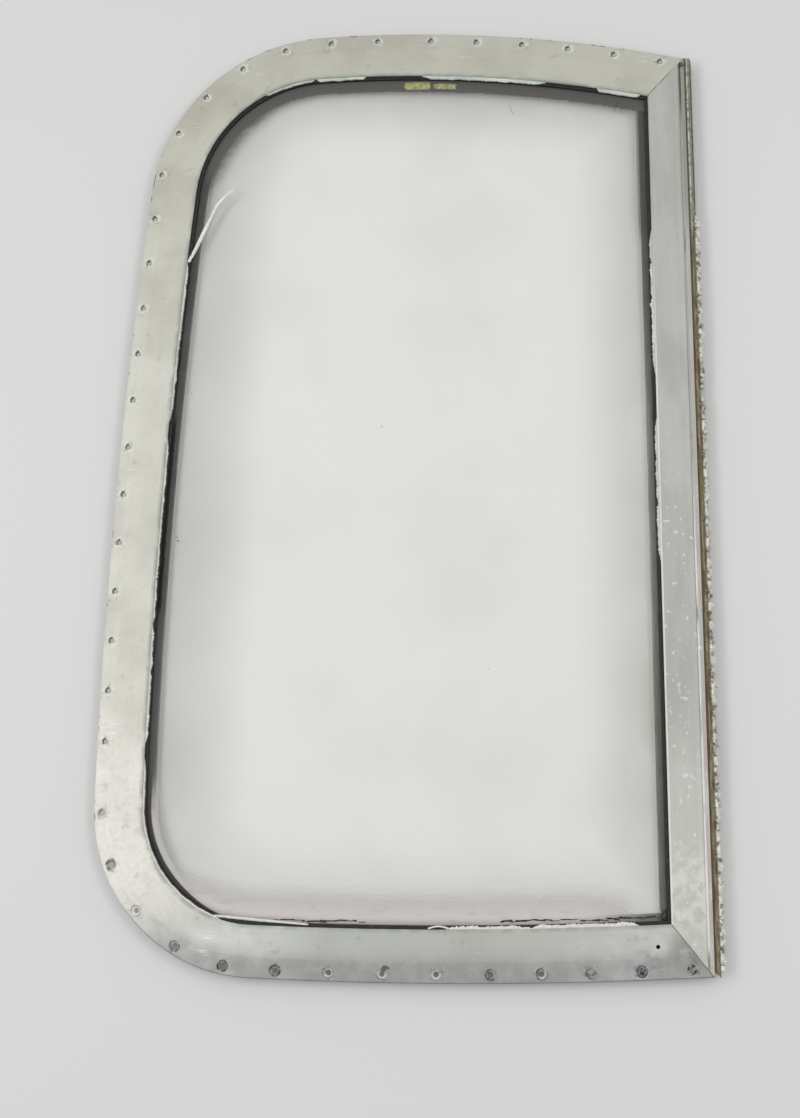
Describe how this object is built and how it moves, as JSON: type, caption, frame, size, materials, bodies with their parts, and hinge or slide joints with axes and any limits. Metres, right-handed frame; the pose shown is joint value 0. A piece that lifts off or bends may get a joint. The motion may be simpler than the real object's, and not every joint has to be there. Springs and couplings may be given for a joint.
{
  "type": "caravan window",
  "caption": "D-shaped caravan window: bent aluminium frame with a screw flange, straight mitred jamb with a pile weather strip, rubber-glazed pane, old sealant.",
  "frame": {"origin": "under the middle of the outline, in the plane that the rear edge of the frame rests on", "axes": "+Z out of the outer face, +Y to the top of the window, +X to the straight jamb"},
  "size_m": [0.455, 0.7399, 0.0126],
  "materials": {
    "frame_metal": "weathered mill finish, stained and scratched",
    "jamb_metal": "weathered mill finish, white specks",
    "clear_glass": "clear, slightly hazy",
    "glazing_rubber": "black, matt",
    "key_steel": "plain zinc coating",
    "rusted_steel": "rusted",
    "pile_backing": "woven, stained by rust",
    "pile_fibre": "matted olive pile, stained by rust",
    "screw_steel": "tarnished",
    "rivet_metal": "dull grey",
    "dark_filler": "dark, smudged",
    "old_sealant": "dried, ragged, greenish white",
    "yellowed_tape": "translucent, yellowed"
  },
  "bodies": {
    "root": {"curved_frame": "frame_metal", "straight_jamb": "jamb_metal", "glass_pane": "clear_glass", "curve_rubber": "glazing_rubber", "jamb_rubber": "glazing_rubber", "top_key": "key_steel", "bottom_key": "key_steel", "pile_channel": "rusted_steel", "pile_base": "pile_backing", "pile_brush": "pile_fibre", "corner_screw": "screw_steel", "flush_rivet": "rivet_metal", "hole_plug": "dark_filler", "sealant_top": "old_sealant", "sealant_side": "old_sealant", "sealant_bottom": "old_sealant", "sealant_jamb": "old_sealant", "tape_remnant": "yellowed_tape", "peeled_strip": "old_sealant"}
  },
  "joints": []
}
